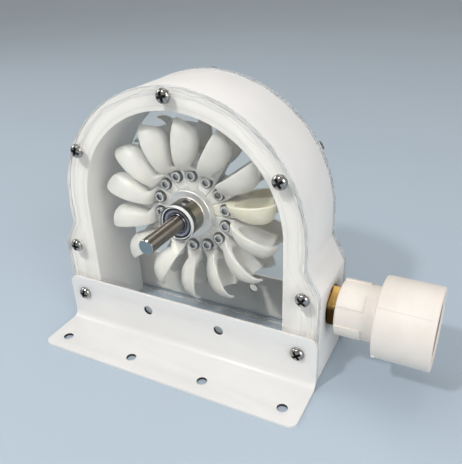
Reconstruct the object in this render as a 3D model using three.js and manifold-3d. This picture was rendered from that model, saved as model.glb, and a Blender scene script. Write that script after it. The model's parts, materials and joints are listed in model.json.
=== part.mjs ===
// Small bench-size impulse turbine: a bucket runner on a shaft inside an arch housing
// with clear cover plates, angle-bracket feet, a brass nozzle nipple and a pipe adapter.
// Units are millimetres, +Z is up, the shaft lies along Y, its long end at the front (-Y).
import * as THREE from 'three';
import { mergeVertices } from 'three/addons/utils/BufferGeometryUtils.js';
import Module from 'manifold-3d';

const wasm = await Module();
wasm.setup();

// Driving dimensions
const HOLE_PITCH = 45;          // between the bracket's four holes
const BRACKET_MARGIN = 10;      // last hole to the bracket's end
const BRACKET_SHEET = 1.5;
const BRACKET_RISE = 30.2;      // height of the upright flange
const BRACKET_REACH = 29.6;     // foot flange, out from the upright's face
const BRACKET_HOLE_RADIUS = 2.75;
const BRACKET_CORNER = 4.8;
const FOLD_RADIUS = 5.5;        // outside of the fold
const FOLD_STEPS = 8;
const UPRIGHT_HOLE_HEIGHT = 20.1;
const FOOT_HOLE_REACH = 20;
const COVER_SHEET = 4;
const HOUSING_DEPTH = 38;
const HOUSING_LIFT = 0.5;       // housing and covers clear the ground by this
const ARCH_RADIUS = 69;
const WINDOW_RADIUS = 57.5;
const ARCH_HEIGHT = 78;         // centre of the arch
const SHAFT_HEIGHT = 78.3;
const SHOULDER_TOP = 66;        // where the straight side starts to slope out
const SHOULDER_LOW = 52.5;
const LOWER_HALF_WIDTH = 76.5;
const FACE_GAP = 0.1;           // between flat faces that bear on each other

const SCREW_INSET = 3.8;        // arch screws, in from the outer edge
const SIDE_SCREW_ANGLE = 29.6;
const SCREW_RADIUS = 2;
const SCREW_HOLE_RADIUS = 2.35;
const SCREW_HEAD_RADIUS = 4;
const SCREW_HEAD_HEIGHT = 2.6;
const SCREW_END = 1.6;          // thread left past the nut
const NUT_ACROSS_CORNERS = 7.9;
const NUT_HEIGHT = 3.2;

const SHAFT_RADIUS = 4;
const SHAFT_FRONT = -24.5;
const SHAFT_CHAMFER = 0.5;
const BEARING_RADIUS = 9.5;
const BEARING_WIDTH = 6;
const BEARING_RECESS = 1.2;     // below the cover's outer face
const RACE_SPLIT = 5.8;         // outside of the inner ring
const RACE_GAP = 0.4;
const RUNNING_GAP = 0.3;

const BUCKET_COUNT = 14;
const BUCKET_START_ANGLE = 87.8;
const ROOT_INNER = 9.8;
const ROOT_OUTER = 27.5;
const ROOT_THICKNESS = 7;
const ROOT_GAP_INNER = 0.1;
const ROOT_GAP_OUTER = 0.45;
const RIM_OFFSET = 5.1;         // rim plane, ahead of the root's middle line
const CUP_CENTRE = 38.8;
const CUP_SPREAD = 6.8;         // each cup's middle, to the side of the splitter
const CUP_HALF_LENGTH = 13.1;
const CUP_HALF_WIDTH = 7.5;
const CUP_TAPER = 0.09;         // wider towards the tip, narrower towards the root
const CUP_DEPTH = 11;
const CUP_WALL = 1.3;
const CUP_ROOT_WALL = 2.7;      // where the pockets end towards the root
const SPLITTER_BASE = 2.6;      // half width of the splitter at the cups' floor
const SPLITTER_TOP = 0.3;
const NOTCH_ROOT = 46.4;
const HORN_TIP = 51.4;          // outermost points of the two lips
const HORN_SPREAD = 7.6;
const SPLITTER_TIP = 48.3;
const HUB_DISC_RADIUS = 24;
const HUB_DISC_THICKNESS = 4;
const FLANGE_RADIUS = 13.2;
const FLANGE_THICKNESS = 4.7;
const BOSS_RADIUS = 9.4;

const NOZZLE_HEIGHT = 37;
const NIPPLE_RADIUS = 11.3;
const NIPPLE_THREAD_RADIUS = 10.2;
const NIPPLE_BORE = 4.6;
const NIPPLE_INNER_X = 59;
const NIPPLE_LENGTH = 36;
const ADAPTER_START = 81.1;
const ADAPTER_STEP = 101.4;
const ADAPTER_END = 128.9;
const ADAPTER_SMALL_RADIUS = 14.1;
const ADAPTER_LARGE_RADIUS = 20.75;
const SOCKET_RADIUS = 16.3;
const SOCKET_DEPTH = 22;

// Levels across the depth, from the front bracket's face
const coverFront = BRACKET_SHEET + FACE_GAP;
const housingFront = coverFront + COVER_SHEET + FACE_GAP;
const housingBack = housingFront + HOUSING_DEPTH;
const rearCoverFront = housingBack + FACE_GAP;
const rearCoverBack = rearCoverFront + COVER_SHEET;
const rearBracketBack = rearCoverBack + FACE_GAP + BRACKET_SHEET;
const midPlane = rearBracketBack / 2;
const bracketHalf = 1.5 * HOLE_PITCH + BRACKET_MARGIN;
const frontBearing = coverFront + BEARING_RECESS;
const rearBearing = rearCoverBack - BEARING_RECESS - BEARING_WIDTH;

const rootFront = midPlane - ROOT_THICKNESS / 2;
const hubDiscFront = rootFront + ROOT_THICKNESS + FACE_GAP;

const COLOURS = {
  housing: [0xe9e9e6, 0.55, 0],
  cover: [0xdfe8ea, 0.08, 0],
  bracket: [0xeeeeec, 0.45, 0],
  screw: [0xb9b9b6, 0.3, 0.9],
  bearing: [0xc9cbcc, 0.2, 0.95],
  shaft: [0x9c9792, 0.35, 0.95],
  coupling: [0xd0d1d0, 0.28, 0.9],
  bucket: [0xece9df, 0.35, 0],
  hub: [0xeae8e2, 0.4, 0],
  brass: [0xb08a4a, 0.35, 0.9],
  adapter: [0xf0ebe2, 0.4, 0],
};

const turbine = new THREE.Group();
const fixedParts = new THREE.Group();
const runner = new THREE.Group();
runner.position.set(0, midPlane, SHAFT_HEIGHT);
turbine.add(fixedParts, runner);

// The origin sits on the ground under the middle of the whole object's box
turbine.position.set(-(ADAPTER_END - bracketHalf) / 2, -midPlane, 0);

function material([colour, roughness, metalness]) {
  return new THREE.MeshStandardMaterial({ color: colour, roughness, metalness });
}

function addPart(group, name, geometry, finish) {
  const mesh = new THREE.Mesh(geometry, material(finish));
  mesh.name = name;
  group.add(mesh);
  return mesh;
}

// Closed mesh to solid, and back
function solid(geometry) {
  const plain = geometry.clone();
  plain.deleteAttribute('normal');
  plain.deleteAttribute('uv');
  const merged = mergeVertices(plain, 1e-4);
  return new wasm.Manifold(new wasm.Mesh({
    numProp: 3,
    vertProperties: new Float32Array(merged.attributes.position.array),
    triVerts: new Uint32Array(merged.index.array),
  }));
}

function geometryOf(manifold) {
  const mesh = manifold.getMesh();
  const geometry = new THREE.BufferGeometry();
  geometry.setAttribute('position', new THREE.BufferAttribute(new Float32Array(mesh.vertProperties), 3));
  geometry.setIndex(new THREE.BufferAttribute(new Uint32Array(mesh.triVerts), 1));
  geometry.computeVertexNormals();
  return geometry;
}

// Cylinders: along Y from one depth to another, or along X between two places
function rodAlongY(radius, from, to, x, z, sides = 16) {
  const rod = new THREE.CylinderGeometry(radius, radius, to - from, sides);
  return rod.translate(x, (from + to) / 2, z);
}

function rodAlongX(radius, from, to, y, z, sides = 32) {
  const rod = new THREE.CylinderGeometry(radius, radius, to - from, sides);
  return rod.rotateZ(Math.PI / 2).translate((from + to) / 2, y, z);
}

// Turned shape about Y: the points are [radius, y] pairs, closed or from axis to axis
function turned(points, segments = 32) {
  return new THREE.LatheGeometry(points.map(([r, y]) => new THREE.Vector2(r, y)), segments);
}

// An outline in X and Z, made thick along Y from one depth to another
function sheet(shape, from, to, curveSegments) {
  const flat = new THREE.ExtrudeGeometry(shape, { depth: to - from, bevelEnabled: false, curveSegments });
  return flat.rotateX(Math.PI / 2).translate(0, to, 0);
}

// Outer outline shared by the housing and both covers
function archOutline() {
  const shape = new THREE.Shape();
  shape.moveTo(-LOWER_HALF_WIDTH, HOUSING_LIFT);
  shape.lineTo(LOWER_HALF_WIDTH, HOUSING_LIFT);
  shape.lineTo(LOWER_HALF_WIDTH, SHOULDER_LOW);
  shape.lineTo(ARCH_RADIUS, SHOULDER_TOP);
  shape.lineTo(ARCH_RADIUS, ARCH_HEIGHT);
  shape.absarc(0, ARCH_HEIGHT, ARCH_RADIUS, 0, Math.PI, false);
  shape.lineTo(-ARCH_RADIUS, SHOULDER_TOP);
  shape.lineTo(-LOWER_HALF_WIDTH, SHOULDER_LOW);
  shape.closePath();
  return shape;
}

// Places of the seven long screws, in X and Z
const screwRing = ARCH_RADIUS - SCREW_INSET;
const sideAngle = THREE.MathUtils.degToRad(SIDE_SCREW_ANGLE);
const coverScrews = {
  top: [0, ARCH_HEIGHT + screwRing],
  upper_left: [-screwRing * Math.cos(sideAngle), ARCH_HEIGHT + screwRing * Math.sin(sideAngle)],
  upper_right: [screwRing * Math.cos(sideAngle), ARCH_HEIGHT + screwRing * Math.sin(sideAngle)],
  lower_left: [-1.5 * HOLE_PITCH - 1.2, SHOULDER_LOW - 0.7],
  lower_right: [1.5 * HOLE_PITCH + 1.2, SHOULDER_LOW - 0.7],
};
const bracketScrews = {
  bracket_left: [-1.5 * HOLE_PITCH, UPRIGHT_HOLE_HEIGHT],
  bracket_right: [1.5 * HOLE_PITCH, UPRIGHT_HOLE_HEIGHT],
};
const allScrews = { ...coverScrews, ...bracketScrews };

function drillScrewHoles(body, from, to) {
  for (const [x, z] of Object.values(allScrews)) {
    body = body.subtract(solid(rodAlongY(SCREW_HOLE_RADIUS, from - 1, to + 1, x, z, 12)));
  }
  return body;
}

// Housing: a thick arch, open front and back, with open legs that let the water out below
function housing() {
  const arch = archOutline();
  const opening = new THREE.Shape();
  opening.moveTo(-WINDOW_RADIUS, -10);
  opening.lineTo(WINDOW_RADIUS, -10);
  opening.lineTo(WINDOW_RADIUS, ARCH_HEIGHT);
  opening.absarc(0, ARCH_HEIGHT, WINDOW_RADIUS, 0, Math.PI, false);
  opening.closePath();
  let body = solid(sheet(arch, housingFront, housingBack, 32));
  body = body.subtract(solid(sheet(opening, housingFront - 1, housingBack + 1, 32)));
  body = drillScrewHoles(body, housingFront, housingBack);
  const nozzleHole = rodAlongX(NIPPLE_THREAD_RADIUS + RUNNING_GAP, WINDOW_RADIUS - 5,
    LOWER_HALF_WIDTH + 5, midPlane, NOZZLE_HEIGHT);
  return geometryOf(body.subtract(solid(nozzleHole)));
}

// Clear cover plate with its bearing seat
function cover(from) {
  let plate = solid(sheet(archOutline(), from, from + COVER_SHEET, 32));
  plate = drillScrewHoles(plate, from, from + COVER_SHEET);
  const seat = rodAlongY(BEARING_RADIUS + RUNNING_GAP, from - 1, from + COVER_SHEET + 1, 0, SHAFT_HEIGHT, 32);
  return geometryOf(plate.subtract(solid(seat)));
}

// Outline of one bracket flange, rounded at its free corners
function flange(height) {
  const corner = BRACKET_CORNER;
  const shape = new THREE.Shape();
  shape.moveTo(-bracketHalf, -1);
  shape.lineTo(bracketHalf, -1);
  shape.lineTo(bracketHalf, height - corner);
  shape.absarc(bracketHalf - corner, height - corner, corner, 0, Math.PI / 2, false);
  shape.absarc(-bracketHalf + corner, height - corner, corner, Math.PI / 2, Math.PI, false);
  shape.closePath();
  return shape;
}

// A quarter round of the fold as [y, z] pairs
function foldArc(radius, from, to) {
  const points = [];
  for (let i = 0; i <= FOLD_STEPS; i += 1) {
    const angle = from + ((to - from) * i) / FOLD_STEPS;
    points.push([BRACKET_SHEET - FOLD_RADIUS + radius * Math.cos(angle), FOLD_RADIUS + radius * Math.sin(angle)]);
  }
  return points;
}

// Bent angle bracket, its upright from y = 0 back, its foot towards the front
function angleBracket() {
  const down = -Math.PI / 2;
  const bent = prismAlongX([[BRACKET_SHEET, BRACKET_RISE], ...foldArc(FOLD_RADIUS, 0, down), [-BRACKET_REACH, 0],
    [-BRACKET_REACH, BRACKET_SHEET], ...foldArc(FOLD_RADIUS - BRACKET_SHEET, down, 0), [0, BRACKET_RISE]],
  -bracketHalf - 1, bracketHalf + 1);
  const upright = sheet(flange(BRACKET_RISE), -BRACKET_REACH - 1, BRACKET_SHEET + 1, 5);
  const foot = new THREE.ExtrudeGeometry(flange(BRACKET_REACH + BRACKET_SHEET),
    { depth: BRACKET_RISE + 2, bevelEnabled: false, curveSegments: 5 });
  foot.rotateX(Math.PI).translate(0, BRACKET_SHEET, BRACKET_RISE + 1);
  let body = solid(bent).intersect(solid(upright)).intersect(solid(foot));
  for (const step of [-1.5, -0.5, 0.5, 1.5]) {
    const x = step * HOLE_PITCH;
    const upper = rodAlongY(BRACKET_HOLE_RADIUS, -1, BRACKET_SHEET + 1, x, UPRIGHT_HOLE_HEIGHT);
    const lower = new THREE.CylinderGeometry(BRACKET_HOLE_RADIUS, BRACKET_HOLE_RADIUS, 6, 16);
    lower.rotateX(Math.PI / 2).translate(x, -FOOT_HOLE_REACH, 0);
    body = body.subtract(solid(upper)).subtract(solid(lower));
  }
  return geometryOf(body);
}

// Pan-head screw: its seat at y = 0, head in front, shank towards +Y
function panScrew(length) {
  const r = SCREW_HEAD_RADIUS;
  const h = SCREW_HEAD_HEIGHT;
  return turned([[0, -h], [r * 0.5, -h * 0.94], [r * 0.84, -h * 0.68], [r, -h * 0.25], [r, 0],
    [SCREW_RADIUS, 0], [SCREW_RADIUS, length - 0.4], [SCREW_RADIUS - 0.4, length], [0, length]], 12);
}

function hexNut() {
  const nut = new THREE.CylinderGeometry(NUT_ACROSS_CORNERS / 2, NUT_ACROSS_CORNERS / 2, NUT_HEIGHT, 6);
  nut.translate(0, NUT_HEIGHT / 2, 0);
  const bore = rodAlongY(SCREW_RADIUS + 0.2, -1, NUT_HEIGHT + 1, 0, 0, 12);
  return geometryOf(solid(nut).subtract(solid(bore)));
}

// Bearing rings, from y = 0 to the bearing's width
function bearingOuter() {
  const inner = RACE_SPLIT + RACE_GAP;
  return turned([[inner, 0.3], [BEARING_RADIUS - 1.6, 0.3], [BEARING_RADIUS - 1.4, 0],
    [BEARING_RADIUS - 0.3, 0], [BEARING_RADIUS, 0.3], [BEARING_RADIUS, BEARING_WIDTH - 0.3],
    [BEARING_RADIUS - 0.3, BEARING_WIDTH], [BEARING_RADIUS - 1.4, BEARING_WIDTH],
    [BEARING_RADIUS - 1.6, BEARING_WIDTH - 0.3], [inner, BEARING_WIDTH - 0.3], [inner, 0.3]], 28);
}

function bearingInner() {
  const bore = SHAFT_RADIUS + 0.15;
  return turned([[bore, 0], [RACE_SPLIT, 0], [RACE_SPLIT, BEARING_WIDTH], [bore, BEARING_WIDTH], [bore, 0]], 24);
}

// Shaft, y measured from the runner's middle plane
function shaft() {
  const front = SHAFT_FRONT - midPlane;
  const back = rearBearing + BEARING_WIDTH - midPlane;
  const c = SHAFT_CHAMFER;
  return turned([[0, front], [SHAFT_RADIUS - c, front], [SHAFT_RADIUS, front + c],
    [SHAFT_RADIUS, back - c], [SHAFT_RADIUS - c, back], [0, back]], 24);
}

// Turned flange coupling that carries the buckets' inner ends on the shaft
function coupling() {
  const bore = SHAFT_RADIUS + 0.15;
  const nose = frontBearing + BEARING_WIDTH + RUNNING_GAP - midPlane;
  const back = rootFront - FACE_GAP - midPlane;
  const face = back - FLANGE_THICKNESS;
  return turned([[bore, nose], [BOSS_RADIUS - 0.5, nose], [BOSS_RADIUS, nose + 0.5], [BOSS_RADIUS, face],
    [FLANGE_RADIUS - 0.4, face], [FLANGE_RADIUS, face + 0.4], [FLANGE_RADIUS, back], [bore, back], [bore, nose]], 36);
}

function hubDisc() {
  const bore = SHAFT_RADIUS + 0.15;
  const front = hubDiscFront - midPlane;
  const back = front + HUB_DISC_THICKNESS;
  return turned([[bore, front], [HUB_DISC_RADIUS, front], [HUB_DISC_RADIUS, back], [bore, back], [bore, front]], 36);
}

// Bucket, its root's middle line along +X, the shaft along Y, cups open towards +Z
function cupForm(inner, outer, sideways, deep, side) {
  const ball = new THREE.SphereGeometry(1, 14, 8).rotateX(Math.PI / 2);
  const points = ball.attributes.position;
  for (let i = 0; i < points.count; i += 1) {
    points.setY(i, points.getY(i) * (1 + CUP_TAPER * points.getX(i)));
  }
  ball.scale((outer - inner) / 2, sideways, deep);
  return solid(ball.translate((inner + outer) / 2, side * CUP_SPREAD, RIM_OFFSET));
}

function prismAlongX(points, from, to) {
  const shape = new THREE.Shape(points.map(([y, z]) => new THREE.Vector2(y, z)));
  const prism = new THREE.ExtrudeGeometry(shape, { depth: to - from, bevelEnabled: false });
  return prism.rotateY(Math.PI / 2).rotateX(Math.PI / 2).translate(from, 0, 0);
}

function prismAlongZ(points, from, to) {
  const shape = new THREE.Shape(points.map(([x, y]) => new THREE.Vector2(x, y)));
  const prism = new THREE.ExtrudeGeometry(shape, { depth: to - from, bevelEnabled: false });
  return prism.translate(0, 0, from);
}

function rootOutline() {
  const halfPitch = Math.tan(Math.PI / BUCKET_COUNT);
  const inner = ROOT_INNER * halfPitch - ROOT_GAP_INNER / 2;
  const outer = ROOT_OUTER * halfPitch - ROOT_GAP_OUTER / 2;
  const neck = RIM_OFFSET - 0.1;
  return [[ROOT_INNER, -inner], [ROOT_OUTER - 3, -outer + 0.8], [ROOT_OUTER + 4, -neck * 0.8],
    [ROOT_OUTER + 4, neck], [ROOT_OUTER - 3, outer - 0.8], [ROOT_INNER, inner]];
}

function rootSolid() {
  const shape = new THREE.Shape(rootOutline().map(([x, z]) => new THREE.Vector2(x, z)));
  const tab = new THREE.ExtrudeGeometry(shape, { depth: ROOT_THICKNESS, bevelEnabled: false });
  return solid(tab.rotateX(Math.PI / 2).translate(0, ROOT_THICKNESS / 2, 0));
}

function bucket() {
  const inner = CUP_CENTRE - CUP_HALF_LENGTH;
  const outer = CUP_CENTRE + CUP_HALF_LENGTH;
  const outside = (side) => cupForm(inner, outer, CUP_HALF_WIDTH, CUP_DEPTH, side);
  const pocket = (side) => cupForm(inner + CUP_ROOT_WALL, outer - CUP_WALL, CUP_HALF_WIDTH - CUP_WALL,
    CUP_DEPTH - CUP_WALL, side);
  let body = outside(-1).add(outside(1)).add(rootSolid());
  let hollow = pocket(-1).add(pocket(1));
  const floor = RIM_OFFSET - CUP_DEPTH;
  const ridge = prismAlongX([[-SPLITTER_TOP, RIM_OFFSET + 1], [SPLITTER_TOP, RIM_OFFSET + 1],
    [SPLITTER_BASE, floor], [-SPLITTER_BASE, floor]], 20, 60);
  hollow = hollow.subtract(solid(ridge));
  const above = new THREE.BoxGeometry(60, 60, 30).translate(CUP_CENTRE, 0, RIM_OFFSET + 15);
  const notch = prismAlongZ([[SPLITTER_TIP, 0], [NOTCH_ROOT, -1.8], [NOTCH_ROOT + 0.4, -4.6],
    [HORN_TIP, -HORN_SPREAD], [56, -HORN_SPREAD - 2], [56, HORN_SPREAD + 2], [HORN_TIP, HORN_SPREAD],
    [NOTCH_ROOT + 0.4, 4.6], [NOTCH_ROOT, 1.8]], -20, 20);
  body = body.subtract(hollow).subtract(solid(above)).subtract(solid(notch));
  return geometryOf(body);
}

// Brass nipple through the housing's right leg, threaded into the adapter
function nipple() {
  const end = NIPPLE_INNER_X + NIPPLE_LENGTH;
  let body = solid(rodAlongX(NIPPLE_THREAD_RADIUS, NIPPLE_INNER_X, end, midPlane, NOZZLE_HEIGHT, 28));
  const hex = rodAlongX(NIPPLE_RADIUS, LOWER_HALF_WIDTH + RUNNING_GAP, ADAPTER_START - RUNNING_GAP,
    midPlane, NOZZLE_HEIGHT, 6);
  body = body.add(solid(hex));
  const bore = rodAlongX(NIPPLE_BORE, NIPPLE_INNER_X - 1, end + 1, midPlane, NOZZLE_HEIGHT, 20);
  return geometryOf(body.subtract(solid(bore)));
}

// Stepped plastic adapter, turned about X
function adapter() {
  const thread = NIPPLE_THREAD_RADIUS + RUNNING_GAP;
  const neck = SOCKET_RADIUS - 4;
  const seat = ADAPTER_END - SOCKET_DEPTH;
  const small = ADAPTER_SMALL_RADIUS;
  const large = ADAPTER_LARGE_RADIUS;
  const profile = turned([[thread, ADAPTER_START], [small - 1.6, ADAPTER_START], [small, ADAPTER_START + 2],
    [small, ADAPTER_STEP], [large - 0.6, ADAPTER_STEP], [large, ADAPTER_STEP + 0.6],
    [large, ADAPTER_END - 0.5], [large - 0.5, ADAPTER_END], [SOCKET_RADIUS + 0.5, ADAPTER_END],
    [SOCKET_RADIUS, ADAPTER_END - 1], [SOCKET_RADIUS, seat], [neck, seat], [neck, ADAPTER_STEP - 3],
    [thread, ADAPTER_STEP - 3], [thread, ADAPTER_START]], 32);
  return profile.rotateZ(-Math.PI / 2).translate(0, midPlane, NOZZLE_HEIGHT);
}

// Fixed parts
addPart(fixedParts, 'housing', housing(), COLOURS.housing);
addPart(fixedParts, 'front_cover', cover(coverFront), COLOURS.cover);
addPart(fixedParts, 'rear_cover', cover(rearCoverFront), COLOURS.cover);
addPart(fixedParts, 'front_bracket', angleBracket(), COLOURS.bracket);
const rearBracket = addPart(fixedParts, 'rear_bracket', angleBracket(), COLOURS.bracket);
rearBracket.rotation.z = Math.PI;
rearBracket.position.y = rearBracketBack;

for (const [place, [x, z]] of Object.entries(allScrews)) {
  const onBracket = place in bracketScrews;
  const seat = onBracket ? -FACE_GAP : coverFront - FACE_GAP;
  const nutSeat = (onBracket ? rearBracketBack : rearCoverBack) + FACE_GAP;
  const screw = addPart(fixedParts, `screw_${place}`, panScrew(nutSeat + NUT_HEIGHT + SCREW_END - seat), COLOURS.screw);
  screw.position.set(x, seat, z);
  const nut = addPart(fixedParts, `nut_${place}`, hexNut(), COLOURS.screw);
  nut.position.set(x, nutSeat, z);
}

for (const [side, start] of [['front', frontBearing], ['rear', rearBearing]]) {
  const outer = addPart(fixedParts, `${side}_bearing_outer`, bearingOuter(), COLOURS.bearing);
  outer.position.set(0, start, SHAFT_HEIGHT);
  const inner = addPart(runner, `${side}_bearing_inner`, bearingInner(), COLOURS.bearing);
  inner.position.y = start - midPlane;
}

addPart(fixedParts, 'nozzle_nipple', nipple(), COLOURS.brass);
addPart(fixedParts, 'pipe_adapter', adapter(), COLOURS.adapter);

// Runner
addPart(runner, 'shaft', shaft(), COLOURS.shaft);
addPart(runner, 'coupling', coupling(), COLOURS.coupling);
addPart(runner, 'hub_disc', hubDisc(), COLOURS.hub);
const bucketShape = bucket();
for (let i = 0; i < BUCKET_COUNT; i += 1) {
  const angle = BUCKET_START_ANGLE + (360 / BUCKET_COUNT) * i;
  const one = addPart(runner, `bucket_${String(i + 1).padStart(2, '0')}`, bucketShape, COLOURS.bucket);
  one.rotation.y = -THREE.MathUtils.degToRad(angle);
}

export default turbine;
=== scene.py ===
"""Looks of a bench-size impulse turbine: a bucket runner in a white arch housing with clear
acrylic covers, angle-bracket feet, ball bearings, a brass nipple and a pipe adapter."""
import json
import math

import bmesh
import bpy
from mathutils import Matrix, Vector


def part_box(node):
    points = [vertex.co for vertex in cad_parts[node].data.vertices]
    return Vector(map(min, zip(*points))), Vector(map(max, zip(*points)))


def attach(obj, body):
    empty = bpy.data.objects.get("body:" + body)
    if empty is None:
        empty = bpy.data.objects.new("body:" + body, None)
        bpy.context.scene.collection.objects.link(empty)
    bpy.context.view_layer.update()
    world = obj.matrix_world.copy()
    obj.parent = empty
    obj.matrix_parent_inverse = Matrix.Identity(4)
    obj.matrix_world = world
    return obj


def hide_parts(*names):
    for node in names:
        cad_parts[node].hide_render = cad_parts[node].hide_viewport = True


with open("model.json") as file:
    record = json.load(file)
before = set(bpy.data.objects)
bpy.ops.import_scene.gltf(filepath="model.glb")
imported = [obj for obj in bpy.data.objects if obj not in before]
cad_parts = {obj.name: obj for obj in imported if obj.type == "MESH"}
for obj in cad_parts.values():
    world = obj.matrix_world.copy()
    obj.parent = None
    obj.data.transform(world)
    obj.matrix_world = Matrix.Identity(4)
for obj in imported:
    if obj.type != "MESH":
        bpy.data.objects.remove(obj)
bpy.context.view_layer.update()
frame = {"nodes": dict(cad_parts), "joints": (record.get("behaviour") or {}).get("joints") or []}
ORIGIN = Vector((0, 0, 0))

# One millimetre, and how near two places are when they count as one, both in metres
MM = 0.001
NEAR = 1e-6

# Sizes in millimetres and turns in degrees, first of the housing and covers
ARCH_RADIUS = 69
WINDOW_RADIUS = 57.5
SHOULDER_TOP = 66
SHOULDER_LOW = 52.5
SCREW_HOLE = 2.35
SEAT_RADIUS = 9.6
NOZZLE_HOLE = 10.5
NOZZLE_HEIGHT = 37
PLATE_BEVEL = 0.2
BEAD_RADIUS = 0.3
LIP_LINE = 9.1
PRINT_LINE = 0.9
PRINT_BAND = 6.1

# Angle brackets
BRACKET_SHEET = 1.5
BRACKET_HOLE = 2.75
BRACKET_CORNER = 4.8
BRACKET_FOLD = 5.5
HOLE_PITCH = 45
UPRIGHT_HOLE_HEIGHT = 20.1
FOOT_HOLE_REACH = 20

# Long screws and their nuts
PAN_RADIUS = 3.75
PAN_RISE = 2.6
SHANK_RADIUS = 2.0
THREAD_PITCH = 0.7
THREAD_DEPTH = 0.28
SLOT_WIDTH = 1.36
NUT_CORNERS = 7.9
NUT_THICK = 3.2

# Bearings, shaft, coupling and hub disc
BORE_RADIUS = 4.02
INNER_RACE = 5.4
SEAL_INSIDE = 7.5
OUTER_RACE_INSIDE = 8.35
BEARING_RADIUS = 9.5
BEARING_SIDE = 9.1
TOOL_MARK = 0.22
SHAFT_RADIUS = 4
SHAFT_CHAMFER = 0.35
BOSS_RADIUS = 9.4
FLANGE_RADIUS = 13.2
FLANGE_THICK = 4.7
SET_SCREW_ANGLE = 81
SET_SCREW_ALONG = 3.2
SET_SCREW_HOLE = 1.9
HUB_RADIUS = 24

# Buckets: the root's thickness, the rim's height over its middle, and one cup on that rim
BUCKETS = 14
FIRST_BUCKET = 87.8
AGED_BUCKET = 12
ROOT_THICK = 7.0
RIM = 5.1
CUP_CENTRE = 38.8
CUP_SPREAD = 6.8
CUP_LENGTH = 13.1
CUP_WIDTH = 7.5
CUP_DEPTH = 11.2
CUP_WIDENING = 0.26
CUP_DEEPENING = 0.3
CUP_WALL = 1.3
SIDE_WALL = 1.17
NECK_WALL = 2.7
NECK_LAP = 2.2
NECK_START, NECK_END = 23, 36
COARSE_MESH, FINE_MESH = 0.4, 0.25
BUCKET_TRIANGLES = 18000

# Cap screws in the buckets' roots
SCREW_RING = 20.15
CAP_RADIUS = 3.2
CAP_RISE = 1.85

# Brass nipple and pipe adapter
NIPPLE_BORE = 4.6
NIPPLE_CORE = 9.5
NIPPLE_HEX = 11.3
RIDGE_RADIUS = 10.2
RIDGE_STEP = 0.9
ADAPTER_THROAT = 10.5
SMALL_END = 14.3
LARGE_END = 20.75
SOCKET_RADIUS = 16.3
SOCKET_DEPTH = 22
ADAPTER_STEP = 20.3
PADS = 5
PAD_START, PAD_LENGTH = 0.9, 13
PAD_WIDTH = 32
PAD_RISE = 0.65

# Camera: lens in millimetres, place in metres, and its turn, downward tilt and roll in degrees
LENS = 42.67
CAMERA_PLACE = (0.11486, -0.22968, 0.20218)
CAMERA_TURN, CAMERA_DOWN, CAMERA_ROLL = 27.80, 27.51, -2.19

# Lamps: turn left of the front and rise in degrees, distance and width in metres, and watts
LAMPS = {
    "key": (20.8, 50.7, 1.2, 0.1, 4.85),
    "right_softbox": (-60, 25, 1.3, 0.9, 6.7),
    "left_softbox": (80, 30, 1.3, 0.7, 3.0),
    "overhead_softbox": (170, 72, 1.4, 1.0, 3.1),
}

# Places taken from the frame, in metres
AXIS = Vector(next(joint for joint in frame["joints"] if joint["name"] == "runner_spin")["pos_m"])
COVER_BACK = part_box("front_cover")[1].y
HOUSING_LOW, HOUSING_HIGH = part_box("housing")
HOUSING_FRONT, HOUSING_BACK = HOUSING_LOW.y, HOUSING_HIGH.y
GROUND_GAP = HOUSING_LOW.z
LOWER_HALF = (HOUSING_HIGH.x - HOUSING_LOW.x) / 2
ARCH_CENTRE = Vector((AXIS.x, 0, HOUSING_HIGH.z - ARCH_RADIUS * MM))
BRACKET_LOW, BRACKET_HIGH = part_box("front_bracket")


# Modelling by hand

def clear_selection():
    bpy.ops.object.select_all(action="DESELECT")


def take(piece):
    """Makes one piece the only one selected, and the active one."""
    clear_selection()
    piece.select_set(True)
    bpy.context.view_layer.objects.active = piece


def edit(piece):
    take(piece)
    bpy.ops.object.mode_set(mode="EDIT")


def leave_edit():
    bpy.ops.object.mode_set(mode="OBJECT")


def fix_place(piece):
    """Puts the piece's place, turn and scale into its mesh."""
    take(piece)
    bpy.ops.object.transform_apply(location=True, rotation=True, scale=True)


def pick(piece, kind, test):
    """In edit mode, selects the faces, edges or vertices that pass the test."""
    bpy.ops.mesh.select_mode(type={"faces": "FACE", "edges": "EDGE", "verts": "VERT"}[kind])
    bpy.ops.mesh.select_all(action="DESELECT")
    shape = bmesh.from_edit_mesh(piece.data)
    for part in getattr(shape, kind):
        if test(part):
            part.select_set(True)
    shape.select_flush_mode()
    bmesh.update_edit_mesh(piece.data)


def chain(name, points):
    """A line of points, extruded one from the next, left open in edit mode."""
    clear_selection()
    bpy.ops.mesh.primitive_plane_add(size=MM, location=(0, 0, 0))
    piece = bpy.context.active_object
    piece.name = name
    bpy.ops.object.mode_set(mode="EDIT")
    bpy.ops.mesh.select_mode(type="VERT")
    bpy.ops.mesh.merge(type="CENTER")
    here = ORIGIN
    for count, point in enumerate(points):
        there = Vector(point)
        if count == 0:
            bpy.ops.transform.translate(value=there)
        else:
            bpy.ops.mesh.extrude_region_move(TRANSFORM_OT_translate={"value": there - here})
        here = there
    return piece


def close_up(piece):
    """Merges doubles, turns all faces outwards and leaves edit mode."""
    bpy.ops.mesh.select_all(action="SELECT")
    bpy.ops.mesh.remove_doubles(threshold=NEAR)
    bpy.ops.mesh.normals_make_consistent(inside=False)
    leave_edit()
    return piece


def prism(name, outline, along):
    """A flat outline of points in metres, filled and pulled out along a vector."""
    piece = chain(name, outline)
    bpy.ops.mesh.select_all(action="SELECT")
    bpy.ops.mesh.edge_face_add()
    bpy.ops.mesh.select_all(action="SELECT")
    bpy.ops.mesh.extrude_region_move(TRANSFORM_OT_translate={"value": along})
    return close_up(piece)


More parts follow.
